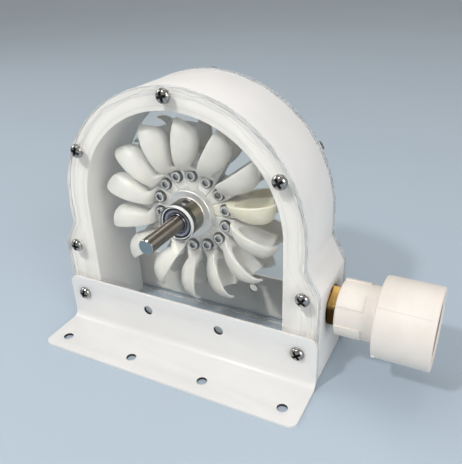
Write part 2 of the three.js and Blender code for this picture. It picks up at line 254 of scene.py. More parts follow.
def turned(name, profile, centre, axis="Y", steps=48):
    """A profile of (radius, along) pairs in mm, spun about the X or Y axis through the centre."""
    forward = {"X": Vector((1, 0, 0)), "Y": Vector((0, 1, 0))}[axis]
    out = Vector((0, 0, 1))
    piece = chain(name, [centre + out * radius * MM + forward * along * MM for radius, along in profile])
    bpy.ops.mesh.select_all(action="SELECT")
    bpy.ops.mesh.spin(steps=steps, angle=math.tau, center=centre, axis=forward)
    return close_up(piece)


def rod(name, radius, start, end, sides=48):
    """Bar between two points, with its radius in mm: round, or a hexagon where it has six sides."""
    start, end = Vector(start), Vector(end)
    clear_selection()
    bpy.ops.mesh.primitive_cylinder_add(vertices=sides, radius=radius * MM, depth=(end - start).length,
                                        location=(start + end) / 2)
    piece = bpy.context.active_object
    piece.name = name
    piece.rotation_euler = (end - start).to_track_quat("Z", "Y").to_euler()
    fix_place(piece)
    return piece


def block(name, low, high):
    """Cutter block between two corners."""
    low, high = Vector(low), Vector(high)
    clear_selection()
    bpy.ops.mesh.primitive_cube_add(size=1, location=(low + high) / 2)
    piece = bpy.context.active_object
    piece.name = name
    piece.scale = high - low
    fix_place(piece)
    return piece


def modify(piece, kind, **settings):
    """Adds a modifier and applies it at once."""
    take(piece)
    bpy.ops.object.modifier_add(type=kind)
    modifier = piece.modifiers[-1]
    for name, value in settings.items():
        setattr(modifier, name, value)
    bpy.ops.object.modifier_apply(modifier=modifier.name)


def combine(piece, other, operation):
    """Joins, cuts or intersects with another piece, which then goes."""
    modify(piece, "BOOLEAN", object=other, operation=operation, solver="EXACT",
           material_mode="TRANSFER" if other.data.materials else "INDEX", use_self=operation != "DIFFERENCE")
    bpy.data.objects.remove(other)


def cut(piece, *cutters):
    for cutter in cutters:
        combine(piece, cutter, "DIFFERENCE")


def soften(piece, width, segments=2, angle=30):
    """Rounds sharp edges by a width in mm and shades the rest smooth."""
    modify(piece, "BEVEL", width=width * MM, segments=segments, limit_method="ANGLE",
           angle_limit=math.radians(angle), miter_outer="MITER_ARC", harden_normals=False)
    smooth(piece, angle)


def smooth(piece, angle=30):
    take(piece)
    bpy.ops.object.shade_smooth_by_angle(angle=math.radians(angle))


def copy_of(piece, name):
    twin = piece.copy()
    twin.data = piece.data.copy()
    twin.name = name
    bpy.context.scene.collection.objects.link(twin)
    return twin


def join(piece, *others):
    clear_selection()
    for other in others:
        other.select_set(True)
    piece.select_set(True)
    bpy.context.view_layer.objects.active = piece
    bpy.ops.object.join()
    return piece


def paint(piece, finish, test):
    """Gives the faces that pass the test a finish of their own."""
    piece.data.materials.append(finish)
    for face in piece.data.polygons:
        if test(face):
            face.material_index = len(piece.data.materials) - 1


def dress(piece, body, finish, slot, *nodes):
    """Gives a finished piece its material, its body and the nodes that it stands for."""
    if not piece.data.materials:
        piece.data.materials.append(finish)
    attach(piece, body)
    if nodes:
        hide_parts(*nodes)


# Materials

def linear(hex_colour):
    """sRGB hex to the linear colour that shaders take."""
    parts = [int(hex_colour[i:i + 2], 16) / 255 for i in (1, 3, 5)]
    return (*[part / 12.92 if part <= 0.04045 else ((part + 0.055) / 1.055) ** 2.4 for part in parts], 1)


def fill(tree, node, inputs):
    """Sets a node's inputs or links them to sockets. Another node stands for its first output."""
    for name, value in inputs.items():
        if isinstance(value, bpy.types.Node):
            value = value.outputs[0]
        if isinstance(value, bpy.types.NodeSocket):
            tree.links.new(value, node.inputs[name])
        else:
            node.inputs[name].default_value = value


def add_node(tree, kind, inputs=None, stops=(), **settings):
    """Adds a shader node with its settings, its inputs and, on a colour ramp, its stops."""
    node = tree.nodes.new("ShaderNode" + kind)
    for name, value in settings.items():
        setattr(node, name, value)
    fill(tree, node, inputs or {})
    for number, (position, colour) in enumerate(stops):
        node.color_ramp.elements[number].position = position
        node.color_ramp.elements[number].color = linear(colour)
    return node


def new_material(name, **plain):
    """A material with its Principled shader and Object coordinates."""
    material = bpy.data.materials.new(name)
    material.use_nodes = True
    tree = material.node_tree
    shader = tree.nodes["Principled BSDF"]
    for socket, value in plain.items():
        shader.inputs[socket.replace("_", " ")].default_value = value
    return material, tree, shader, add_node(tree, "TexCoord").outputs["Object"]


def grain(tree, place, size, detail=3, squeeze=(1, 1, 1)):
    """Pattern of blobs about size millimetres across, squeezed along X, Y and Z."""
    mapped = add_node(tree, "Mapping", {"Vector": place, "Scale": squeeze})
    return add_node(tree, "TexNoise", {"Vector": mapped, "Scale": 1 / (size * MM), "Detail": detail})


def surface(tree, shader, colours=None, rough=None, relief=None):
    """Lets patterns drive a finish: the colour between two hex values, each reached at a level of
    its own, the roughness between two numbers, and the relief with a depth in millimetres."""
    if colours:
        pattern, low, high, low_at, high_at = colours
        ramp = add_node(tree, "ValToRGB", {"Fac": pattern}, ((low_at, low), (high_at, high)))
        fill(tree, shader, {"Base Color": ramp})
    if rough:
        pattern, low, high = rough
        spread = add_node(tree, "MapRange", {"Value": pattern, "To Min": low, "To Max": high})
        fill(tree, shader, {"Roughness": spread})
    if relief:
        pattern, depth = relief
        fill(tree, shader, {"Normal": add_node(tree, "Bump", {"Height": pattern, "Distance": depth * MM})})


def pass_light(tree, shader, tint):
    """Lets light through a clear piece, so that it throws only a faint shadow."""
    light = add_node(tree, "LightPath")
    window = add_node(tree, "BsdfTransparent", {"Color": linear(tint)})
    mixed = add_node(tree, "MixShader", {0: light.outputs["Is Shadow Ray"], 1: shader, 2: window})
    fill(tree, tree.nodes["Material Output"], {"Surface": mixed})


def reach_from(tree, split, centre, above=False):
    """Distance in X and Z from a centre. Where only what is above it counts, a place lower down is
    measured from the upright plane through it."""
    across = add_node(tree, "Math", {0: split.outputs["X"], 1: centre.x}, operation="SUBTRACT")
    up = add_node(tree, "Math", {0: split.outputs["Z"], 1: centre.z}, operation="SUBTRACT")
    if above:
        up = add_node(tree, "Math", {0: up, 1: 0.0}, operation="MAXIMUM")
    flat = add_node(tree, "CombineXYZ", {"X": across, "Z": up})
    return add_node(tree, "VectorMath", {0: flat}, operation="LENGTH").outputs["Value"]


def waves(tree, reach, pitch):
    """Pattern of even waves outwards, with their pitch in mm."""
    turns = add_node(tree, "Math", {0: reach, 1: math.tau / (pitch * MM)}, operation="MULTIPLY")
    return add_node(tree, "Math", {0: turns}, operation="SINE")


def smear_lines(tree, place, inset):
    """Pattern of squeezed-out sealant, two wavy lines and one broad smear, and the edge line of the
    window's lip. Each has its middle, wander, half width and waves in mm, and its strength."""
    lines = ((2.2, 1.6, 0.16, 14, 0.7), (4.3, 1.2, 0.12, 22, 0.6), (2.8, 1.4, 0.85, 30, 0.28),
             (LIP_LINE, 0.2, 0.2, 9, 0.3))
    total = 0.0
    for middle, wander, half_width, size, strength in lines:
        own = add_node(tree, "Mapping", {"Vector": place, "Location": (middle, 0, 0)})
        wobble = add_node(tree, "MapRange", {"Value": grain(tree, own, size, 2), "From Min": 0.3,
                                             "From Max": 0.7, "To Min": -wander * MM, "To Max": wander * MM})
        moved = add_node(tree, "Math", {0: inset, 1: wobble}, operation="ADD")
        line = add_node(tree, "Math", {0: moved, 1: middle * MM, 2: half_width * MM}, operation="COMPARE")
        line = add_node(tree, "Math", {0: line, 1: strength}, operation="MULTIPLY")
        total = add_node(tree, "Math", {0: total, 1: line}, operation="MAXIMUM")
    return total


def printed_plastic():
    # White printed plastic: rings where the print head ran round the outline, drawn about twice as coarse
    # as real ones so that they show, a soft satin skin, and grey lines where sealant was squeezed out
    material, tree, shader, place = new_material("white_printed_plastic", IOR=1.46)
    split = add_node(tree, "SeparateXYZ", {"Vector": place})
    reach = reach_from(tree, split, ARCH_CENTRE, above=True)
    edge = add_node(tree, "MapRange", {"Value": split.outputs["Z"], "From Min": SHOULDER_TOP * MM,
                                       "From Max": SHOULDER_LOW * MM, "To Min": ARCH_RADIUS * MM,
                                       "To Max": LOWER_HALF})
    inset = add_node(tree, "Math", {0: edge, 1: reach}, operation="SUBTRACT")
    bands = add_node(tree, "MapRange", {"Value": waves(tree, reach, PRINT_BAND), "From Min": -1.0,
                                        "From Max": 1.0, "To Min": -0.08, "To Max": 0.08})
    shade = add_node(tree, "Math", {0: grain(tree, place, 30, 2), 1: bands}, operation="ADD")
    white = add_node(tree, "ValToRGB", {"Fac": shade}, ((0.3, "#E4E2E0"), (0.75, "#ECEAE8")))
    lined = add_node(tree, "Mix", {"Factor": smear_lines(tree, place, inset), "A": white,
                                   "B": linear("#B9BABB")}, data_type="RGBA")
    layers = add_node(tree, "Bump", {"Height": waves(tree, reach, PRINT_LINE), "Distance": 0.008 * MM})
    skin = add_node(tree, "Bump", {"Height": grain(tree, place, 2.2, 4), "Distance": 0.03 * MM,
                                   "Normal": layers})
    fill(tree, shader, {"Base Color": lined.outputs[2], "Normal": skin})
    surface(tree, shader, rough=(grain(tree, place, 3), 0.36, 0.5))
    return material


def clear_acrylic():
    # Clear cast acrylic sheet: bends what lies behind it, mirrors the light, faint smears from handling
    material, tree, shader, place = new_material("clear_acrylic", IOR=1.49, Transmission_Weight=1.0)
    smears = grain(tree, place, 22, 5, (1, 1, 2.5))
    haze = add_node(tree, "MapRange", {"Value": smears, "From Min": 0.5, "From Max": 0.8, "To Max": 0.02})
    fill(tree, shader, {"Base Color": linear("#FFFEFB"), "Roughness": haze})
    pass_light(tree, shader, "#EFEFEE")
    return material


def sealed_edge():
    # Edge of the front plate with silicone wiped along it: milky white with thin grey runs
    material, tree, shader, place = new_material("silicone_on_plate_edge", IOR=1.45, Transmission_Weight=0.2,
                                                 Roughness=0.3)
    runs = grain(tree, place, 1.6, 3, (0.25, 2.5, 0.25))
    surface(tree, shader, (runs, "#AEB1B3", "#EDEEED", 0.36, 0.5), relief=(runs, 0.1))
    pass_light(tree, shader, "#EBEBEB")
    return material


def sawn_edge():
    # Sawn acrylic edge: frosted, pale blue-grey, with bright nicks
    material, tree, shader, place = new_material("sawn_acrylic_edge", IOR=1.49, Transmission_Weight=0.4,
                                                 Roughness=0.2)
    nicks = grain(tree, place, 1.1, 4, (1, 0.5, 1))
    surface(tree, shader, (nicks, "#B4C2CF", "#FAFBFC", 0.36, 0.58), relief=(nicks, 0.06))
    pass_light(tree, shader, "#EBEBEB")
    return material


def bored_seat():
    # Bored hole in clear sheet, lit from inside: matt white with the tool's fine rings
    material, tree, shader, place = new_material("bored_acrylic", IOR=1.49, Roughness=0.35)
    rings = grain(tree, place, 0.45, 2, (0, 1, 0))
    surface(tree, shader, (rings, "#A29F9C", "#FBFBFA", 0.35, 0.5), relief=(rings, 0.02))
    pass_light(tree, shader, "#E0E0E0")
    return material


def powder_coat():
    # White powder coat on steel sheet: orange-peel skin under a thin gloss
    material, tree, shader, place = new_material("white_powder_coat", IOR=1.5, Coat_Weight=0.25,
                                                 Coat_Roughness=0.12)
    surface(tree, shader, (grain(tree, place, 40, 2), "#E2E1DF", "#E6E5E3", 0.3, 0.7),
            (grain(tree, place, 5), 0.32, 0.42), (grain(tree, place, 1.0, 2), 0.02))
    return material


def plated_steel(name, low, high, rough, metallic=1.0):
    # Plated steel, of nickel or zinc: hard and bright with fine wear marks; the dark copy on the cap screws'
    # flanks is painted shade
    material, tree, shader, place = new_material(name, Metallic=metallic)
    surface(tree, shader, (grain(tree, place, 0.9, 5), low, high, 0.35, 0.65),
            (grain(tree, place, 0.4, 4), rough * 0.7, rough * 1.5), (grain(tree, place, 0.5), 0.01))
    return material


def turned_metal(name, low, high, rough, depth, metallic=1.0, drawn=0.0):
    # Turned, ground or pressed metal: fine rings round the axis, drawn coarser than real ones so that
    # they show. Where the finish is drawn, light runs out into a streak along the axis
    material, tree, shader, place = new_material(name, Metallic=metallic, Anisotropic=drawn,
                                                 Anisotropic_Rotation=0.25)
    fill(tree, shader, {"Tangent": add_node(tree, "Tangent", direction_type="RADIAL", axis="Y")})
    split = add_node(tree, "SeparateXYZ", {"Vector": place})
    rings = add_node(tree, "CombineXYZ", {"X": reach_from(tree, split, AXIS), "Y": split.outputs["Y"]})
    marks = grain(tree, rings, TOOL_MARK, 2)
    scratches = grain(tree, place, 0.4, 3, (1, 0.03, 1))
    shade = add_node(tree, "Math", {0: marks, 1: scratches}, operation="ADD")
    surface(tree, shader, (shade, low, high, 0.7, 1.0), (marks, rough * 0.8, rough * 1.3), (marks, depth))
    return material


def faced_end():
    # Sawn and faced end of the bar: dull blue-grey with faint rings
    material, tree, shader, place = new_material("faced_bar_end", Metallic=0.6)
    split = add_node(tree, "SeparateXYZ", {"Vector": place})
    rings = add_node(tree, "CombineXYZ", {"X": reach_from(tree, split, AXIS)})
    surface(tree, shader, (grain(tree, rings, 0.3, 2), "#6F8088", "#94A4AB", 0.35, 0.65),
            (grain(tree, place, 0.6), 0.35, 0.5))
    return material


def painted_shade_recess():
    # Painted shade in recesses: near-black steel on the bottom and walls of driver sockets and slots, the set
    # screw and its hole, and the flank of a bearing
    material, tree, shader, place = new_material("dark_socket_steel", Metallic=0.4)
    surface(tree, shader, (grain(tree, place, 0.5), "#0E0D0D", "#262422", 0, 1),
            (grain(tree, place, 0.3), 0.35, 0.55))
    return material


def shaded_hole_wall():
    # Wall of a punched hole: dark steel colour, painted shade inside the hole
    material, tree, shader, place = new_material("punched_steel_edge", Metallic=0.7)
    surface(tree, shader, (grain(tree, place, 0.6), "#2E3033", "#56585B", 0.35, 0.65),
            (grain(tree, place, 0.4), 0.4, 0.6))
    return material


def black_rubber():
    # Black nitrile rubber seal: dull and even
    material, tree, shader, place = new_material("black_rubber_seal", IOR=1.5)
    surface(tree, shader, (grain(tree, place, 0.6), "#141417", "#1F2024", 0, 1),
            (grain(tree, place, 0.4), 0.45, 0.6))
    return material


def moulded_ivory(name, low, high):
    # Moulded ivory plastic, semi-gloss, letting a little warm light through its thin lips
    material, tree, shader, place = new_material(name, IOR=1.48, Subsurface_Weight=0.6,
                                                 Subsurface_Scale=0.0035)
    fill(tree, shader, {"Subsurface Radius": (1.0, 0.85, 0.65)})
    surface(tree, shader, (grain(tree, place, 7), low, high, 0.3, 0.7),
            (grain(tree, place, 2.5, 4), 0.26, 0.38), (grain(tree, place, 1.4), 0.025))
    return material


def machined_brass():
    # Machined brass: warm metal, darker towards the bottom, where it is painted as a dark reflection of the
    # shaded wall and floor below it
    material, tree, shader, place = new_material("machined_brass", Metallic=1.0)
    marks = grain(tree, place, 0.35, 3, (3, 1, 1))
    height = add_node(tree, "SeparateXYZ", {"Vector": place}).outputs["Z"]
    height_fade = add_node(tree, "MapRange", {"Value": height, "From Min": (NOZZLE_HEIGHT + 3) * MM,
                                        "From Max": (NOZZLE_HEIGHT + 7) * MM})
    painted_dark_reflection = add_node(tree, "ValToRGB", {"Fac": marks}, ((0.3, "#2A1C0C"), (0.7, "#5A4222")))
    bright = add_node(tree, "ValToRGB", {"Fac": marks}, ((0.3, "#B48A45"), (0.7, "#DDBB77")))
    mixed = add_node(tree, "Mix", {"Factor": height_fade, "A": painted_dark_reflection, "B": bright}, data_type="RGBA")
    fill(tree, shader, {"Base Color": mixed.outputs[2]})
    surface(tree, shader, rough=(marks, 0.2, 0.32), relief=(marks, 0.01))
    return material


def moulded_pipe_plastic():
    # Moulded PVC pipe fitting: warm white, smooth with soft flow marks
    material, tree, shader, place = new_material("moulded_pvc", IOR=1.5, Subsurface_Weight=0.08,
                                                 Subsurface_Scale=0.001)
    surface(tree, shader, (grain(tree, place, 8, 3, (1, 0.5, 0.5)), "#E9E1D8", "#EEE7DF", 0.3, 0.7),
            (grain(tree, place, 2.5), 0.42, 0.52), (grain(tree, place, 1.6), 0.02))
    return material


def socket_inside():
    # Inside of the pipe socket: the same plastic, darkened as painted shade where it lies out of the light
    material, tree, shader, place = new_material("dusty_socket_plastic", Roughness=0.7)
    surface(tree, shader, (grain(tree, place, 5), "#9C8D84", "#B5A89F", 0.3, 0.7))
    return material


def clear_sealant():
    # Clear silicone bead: milky, wet-looking
    material, tree, shader, place = new_material("clear_silicone", IOR=1.41, Transmission_Weight=0.55,
                                                 Roughness=0.22)
    surface(tree, shader, (grain(tree, place, 1.8), "#D5D9DA", "#F1F3F2", 0.3, 0.7),
            relief=(grain(tree, place, 1.2), 0.12))
    pass_light(tree, shader, "#E6E6E6")
    return material


FINISH = {
    "housing": printed_plastic(),
    "acrylic": clear_acrylic(),
    "coat": powder_coat(),
    "sealed": sealed_edge(),
    "sawn": sawn_edge(),
    "bored": bored_seat(),
    # Nickel on the screws; on the cap screws a paler crown as painted highlight and a dark flank as painted
    # shade; duller zinc on the nuts
    "screw": plated_steel("nickel_plated_screw", "#8A8886", "#B9B7B5", 0.13),
    "cap": plated_steel("bright_cap_screw", "#BDB9B3", "#E8E5E0", 0.16, metallic=0.6),
    "cap_side": plated_steel("oiled_cap_screw_side", "#454341", "#76736F", 0.3),
    "nut": plated_steel("zinc_plated_nut", "#4E4C4A", "#B9B7B3", 0.16),
    "bare": shaded_hole_wall(),
    "recess": painted_shade_recess(),
    # Bearings: a bright ground outer ring, a grey pressed shield, and an inner ring made dark as painted
    # shade from the shaft
    "bearing": turned_metal("ground_bearing_steel", "#DAD7D3", "#F4F2F0", 0.14, 0.004, metallic=0.6),
    "race": turned_metal("oiled_inner_race", "#3F3D42", "#7C7A80", 0.2, 0.01),
    "shield": turned_metal("pressed_bearing_shield", "#75737A", "#B4B2B8", 0.2, 0.02),
    "seal": black_rubber(),
    # Shaft and boss drawn into long streaks, and a pale satin flange
    "shaft": turned_metal("ground_shaft_steel", "#5A554E", "#918B82", 0.45, 0.003, drawn=1.0),
    "shaft_end": faced_end(),
    "flange": turned_metal("turned_aluminium", "#D2D2D3", "#E9E9E9", 0.38, 0.012, metallic=0.7),
    "boss": turned_metal("turned_boss_steel", "#5A564C", "#918C7C", 0.42, 0.006, drawn=1.0),
    # Buckets: pale ivory, and one older bucket that has yellowed
    "ivory": moulded_ivory("moulded_ivory_plastic", "#D7D6D2", "#DFDEDA"),
    "aged": moulded_ivory("aged_ivory_plastic", "#E4DFC8", "#EBE7D6"),
    "brass": machined_brass(),
    "pvc": moulded_pipe_plastic(),
    "socket": socket_inside(),
    "sealant": clear_sealant(),
}


# Housing and covers

# Outline under the arch: widening at the shoulder, then straight down to just above the ground
OUTER_FEET = [(ARCH_RADIUS, SHOULDER_TOP), (LOWER_HALF / MM, SHOULDER_LOW),
              (LOWER_HALF / MM, GROUND_GAP / MM)]


def arch_body(name, radius, low_y, high_y, feet, sides=192):
    """Half-round top with straight or spread legs below it: feet are (half width, height) pairs in mm."""
    top = ARCH_CENTRE
    body = rod(name, radius, (top.x, low_y, top.z), (top.x, high_y, top.z), sides)
    edit(body)
    bpy.ops.mesh.select_all(action="SELECT")
    bpy.ops.mesh.bisect(plane_co=top, plane_no=(0, 0, 1), use_fill=True, clear_inner=True)
    width, level = radius, top.z
    for half_width, height in feet:
        pick(body, "faces", lambda face: face.normal.z < -0.9
             and abs(face.calc_center_median().z - level) < NEAR)
        bpy.ops.mesh.extrude_region_move(TRANSFORM_OT_translate={"value": (0, 0, height * MM - level)})
        bpy.ops.transform.resize(value=(half_width / width, 1, 1), center_override=(top.x, 0, height * MM))
        width, level = half_width, height * MM
    return close_up(body)


def screw_places():
    """X and Z of the seven long screws, from the frame."""
    places = {}
    for node in frame["nodes"]:
        if node.startswith("screw_"):
            low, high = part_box(node)
            places[node.removeprefix("screw_")] = ((low.x + high.x) / 2, (low.z + high.z) / 2)
    return places


def drill(body, low_y, high_y):
    """Holes for the long screws."""
    for x, z in screw_places().values():
        cut(body, rod("drill", SCREW_HOLE, (x, low_y - MM, z), (x, high_y + MM, z), 24))


def make_housing():
    """Arch with its window open below, the screws' holes and the nozzle's hole through the right leg."""
    body = arch_body("printed_housing", ARCH_RADIUS, HOUSING_FRONT, HOUSING_BACK, OUTER_FEET)
    cut(body, arch_body("window", WINDOW_RADIUS, HOUSING_FRONT - MM, HOUSING_BACK + MM,
                        [(WINDOW_RADIUS, -10)], 160))
    drill(body, HOUSING_FRONT, HOUSING_BACK)
    past_wall, height = 5 * MM, NOZZLE_HEIGHT * MM
    cut(body, rod("nozzle_hole", NOZZLE_HOLE, (AXIS.x + WINDOW_RADIUS * MM - past_wall, 0, height),
                  (AXIS.x + LOWER_HALF + past_wall, 0, height)))
    soften(body, 0.35, segments=3, angle=25)
    dress(body, "frame", FINISH["housing"], "housing_plastic", "housing")


def on_outline(face):
    """True on a plate's outer edge, and not in its holes."""
    inside = (ARCH_RADIUS - 2.5) * MM
    x, z = abs(face.center.x - AXIS.x), face.center.z
    wide = x > inside or math.hypot(x, z - ARCH_CENTRE.z) > inside
    return abs(face.normal.y) < 0.5 and (wide or z < GROUND_GAP + MM)


def in_seat(face):
    """True on the wall of a plate's bearing seat."""
    reach = math.hypot(face.center.x - AXIS.x, face.center.z - AXIS.z)
    return reach < (SEAT_RADIUS + 0.4) * MM and abs(face.normal.y) < 0.9


def make_covers():
    """Clear plates: the front one has its edge wiped with silicone, the rear one is as sawn."""
    for side, edge in (("front", "sealed"), ("rear", "sawn")):
        low, high = (corner.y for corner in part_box(side + "_cover"))
        plate = arch_body(f"clear_{side}_plate", ARCH_RADIUS, low, high, OUTER_FEET)
        drill(plate, low, high)
        cut(plate, rod("seat", SEAT_RADIUS, (AXIS.x, low - MM, AXIS.z), (AXIS.x, high + MM, AXIS.z), 320))
        modify(plate, "BEVEL", width=PLATE_BEVEL * MM, segments=1, limit_method="ANGLE",
               angle_limit=math.radians(25))
        smooth(plate, 5)
        plate.data.materials.append(FINISH["acrylic"])
        paint(plate, FINISH[edge], on_outline)
        paint(plate, FINISH["bored"], in_seat)
        dress(plate, "frame", FINISH["acrylic"], "clear_acrylic", side + "_cover")


def outline_path(inset, step=1.5, arc_steps=48):
    """Points along the housing's outline, from foot to foot, moved inwards by an inset in mm."""
    half, radius = LOWER_HALF / MM - inset, ARCH_RADIUS - inset
    springing = ARCH_CENTRE.z / MM
    left = [(-half, GROUND_GAP / MM), (-half, SHOULDER_LOW), (-radius, SHOULDER_TOP), (-radius, springing)]
    angles = [math.pi * n / arc_steps for n in range(1, arc_steps)]
    arc = [(-radius * math.cos(angle), springing + radius * math.sin(angle)) for angle in angles]
    corners = left + arc + [(-x, z) for x, z in reversed(left)]
    path = []
    for (x0, z0), (x1, z1) in zip(corners, corners[1:]):
        count = max(1, round(math.hypot(x1 - x0, z1 - z0) / step))
        path += [(x0 + (x1 - x0) * n / count, z0 + (z1 - z0) * n / count) for n in range(count)]
    return path + corners[-1:]


def make_sealant():
    """Thin wavy beads of clear silicone between each plate and the housing."""
    front_seam = (COVER_BACK + HOUSING_FRONT) / 2
    for name, seam in (("front_sealant", front_seam), ("rear_sealant", -front_seam)):
        points = []
        for number, (x, z) in enumerate(outline_path(0.05)):
            sway = 0.16 * math.sin(number * 0.7) + 0.12 * math.sin(number * 0.31 + 1)
            points.append((AXIS.x + x * MM, seam + sway * MM, z * MM))
        bead = chain(name, points)
        leave_edit()
        take(bead)
        bpy.ops.object.convert(target="CURVE")
        bead.data.bevel_depth = BEAD_RADIUS * MM
        bead.data.bevel_resolution = 2
        bpy.ops.object.convert(target="MESH")
        smooth(bead, 60)
        dress(bead, "frame", FINISH["sealant"], "clear_acrylic")


# Angle brackets

def make_brackets():
    """Bent sheet with four holes in each flange, and its twin turned round for the rear."""
    left, right = BRACKET_LOW.x, BRACKET_HIGH.x
    back, toe, height = BRACKET_HIGH.y, BRACKET_LOW.y, BRACKET_HIGH.z
    sheet = chain("front_angle_bracket", [(left, back, height), (left, back, 0), (left, toe, 0)])
    bpy.ops.mesh.select_all(action="SELECT")
    bpy.ops.mesh.extrude_region_move(TRANSFORM_OT_translate={"value": (right - left, 0, 0)})
    pick(sheet, "edges", lambda edge: all(point.co.z < NEAR and point.co.y > back - NEAR
                                          for point in edge.verts))
    bpy.ops.mesh.bevel(offset=BRACKET_FOLD * MM, segments=12, affect="EDGES")
    pick(sheet, "verts", lambda point: point.co.z > height - NEAR or point.co.y < toe + NEAR)
    bpy.ops.mesh.bevel(offset=BRACKET_CORNER * MM, segments=8, affect="VERTICES")
    bpy.ops.mesh.select_all(action="SELECT")
    bpy.ops.mesh.normals_make_consistent(inside=False)
    leave_edit()
    modify(sheet, "SOLIDIFY", thickness=BRACKET_SHEET * MM, offset=-1 if faces_back(sheet) else 1,
           use_even_offset=True)
    hole_z, hole_y = UPRIGHT_HOLE_HEIGHT * MM, back - (BRACKET_SHEET + FOOT_HOLE_REACH) * MM
    columns = [AXIS.x + step * HOLE_PITCH * MM for step in (-1.5, -0.5, 0.5, 1.5)]
    past = 5 * MM
    for x in columns:
        cut(sheet, rod("drill", BRACKET_HOLE, (x, back - past, hole_z), (x, back + past, hole_z)),
            rod("drill", BRACKET_HOLE, (x, hole_y, -past), (x, hole_y, past)))
    soften(sheet, 0.35, segments=3, angle=40)

    def in_hole(face):
        """True on the wall of a hole, in the upright or, low down, in the foot."""
        upright = face.center.z > 8 * MM
        across = min(abs(face.center.x - x) for x in columns)
        up = face.center.z - hole_z if upright else face.center.y - hole_y
        faces_through = abs(face.normal.y if upright else face.normal.z)
        return math.hypot(across, up) < (BRACKET_HOLE + 0.1) * MM and faces_through < 0.5

    sheet.data.materials.append(FINISH["coat"])
    # Painted shade: the walls of the holes take the dark finish
    paint(sheet, FINISH["bare"], in_hole)
    rear = copy_of(sheet, "rear_angle_bracket")
    rear.rotation_euler.z = math.pi
    rear.location.x = 2 * AXIS.x
    fix_place(rear)
    dress(sheet, "frame", FINISH["coat"], "bracket_paint", "front_bracket")
    dress(rear, "frame", FINISH["coat"], "bracket_paint", "rear_bracket")


def faces_back(sheet):
    """True if the upright's faces look backwards, away from the toe."""
    return sum(face.normal.y * face.area for face in sheet.data.polygons) > 0


# Screws and nuts

def make_screw():
    """Plain pan-head screw, its seat at the origin and its threaded shank towards +Y."""
    head = [(0, -1), (0.3, -0.99), (0.62, -0.9), (0.86, -0.68), (0.97, -0.4), (1, -0.15)]
    profile = [(PAN_RADIUS * out, PAN_RISE * up) for out, up in head]
    profile += [(PAN_RADIUS - 0.1, 0), (SHANK_RADIUS, 0)]
    profile += [(SHANK_RADIUS - THREAD_DEPTH * (step % 2), THREAD_PITCH / 2 * step) for step in range(1, 150)]
    return turned("screw", profile, ORIGIN, steps=40)


def cross_slot(screw):
    """Cuts the tapered cross slot into the head."""
    outline = [(-2.8, -3.2), (2.8, -3.2), (2.5, -1.9), (0.7, -0.5), (-0.7, -0.5), (-2.5, -1.9)]
    for turn in (0, 90):
        arm = prism("slot", [(x * MM, y * MM, -SLOT_WIDTH / 2 * MM) for x, y in outline],
                    (0, 0, SLOT_WIDTH * MM))
        # The slot's faces take the near-black recess finish: painted shade
        arm.data.materials.append(FINISH["recess"])
        arm.rotation_euler.y = math.radians(turn)
        fix_place(arm)
        cut(screw, arm)


def make_screws():
    """A long screw in each place, turned as it was left and cut off where its shank ends."""
    model = make_screw()
    model.data.materials.append(FINISH["screw"])
    cross_slot(model)
    smooth(model, 35)
    for number, (place, (x, z)) in enumerate(screw_places().items()):
        node = "screw_" + place
        low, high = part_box(node)
        screw = copy_of(model, "pan_screw_" + place)
        screw.location = (x, low.y + PAN_RISE * MM, z)
        screw.rotation_euler.y = math.radians(17 + 37 * number)
        fix_place(screw)
        edit(screw)
        pick(screw, "verts", lambda point: point.co.y > high.y)
        bpy.ops.mesh.delete(type="VERT")
        pick(screw, "edges", lambda edge: edge.is_boundary)
        bpy.ops.mesh.edge_face_add()
        close_up(screw)
        dress(screw, "frame", FINISH["screw"], "plated_screw", node)
    bpy.data.objects.remove(model)


def make_nuts():
    """Hexagon nuts, their corners rounded by a turned crown and their thread's mouths chamfered."""
    corner, mouth, bore, edge = NUT_CORNERS / 2, 2.5, 2.05, 0.45
    model = rod("nut", corner, (0, 0, 0), (0, NUT_THICK * MM, 0), 6)
    combine(model, turned("crown", [
        (0, 0), (corner * 0.86, 0), (corner + 0.1, edge), (corner + 0.1, NUT_THICK - edge),
        (corner * 0.86, NUT_THICK), (0, NUT_THICK)], ORIGIN), "INTERSECT")
    cut(model, turned("bore", [
        (0, -1), (mouth, -1), (mouth, 0), (bore, edge), (bore, NUT_THICK - edge), (mouth, NUT_THICK),
        (mouth, NUT_THICK + 1), (0, NUT_THICK + 1)], ORIGIN, steps=32))
    smooth(model, 25)
    for number, place in enumerate(screw_places()):
        low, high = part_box("nut_" + place)
        nut = copy_of(model, "hex_nut_" + place)
        nut.location = ((low.x + high.x) / 2, low.y, (low.z + high.z) / 2)
        nut.rotation_euler.y = math.radians(11 + 23 * number)
        fix_place(nut)
        dress(nut, "frame", FINISH["nut"], "plated_screw", "nut_" + place)
    bpy.data.objects.remove(model)


# Bearings, shaft and coupling

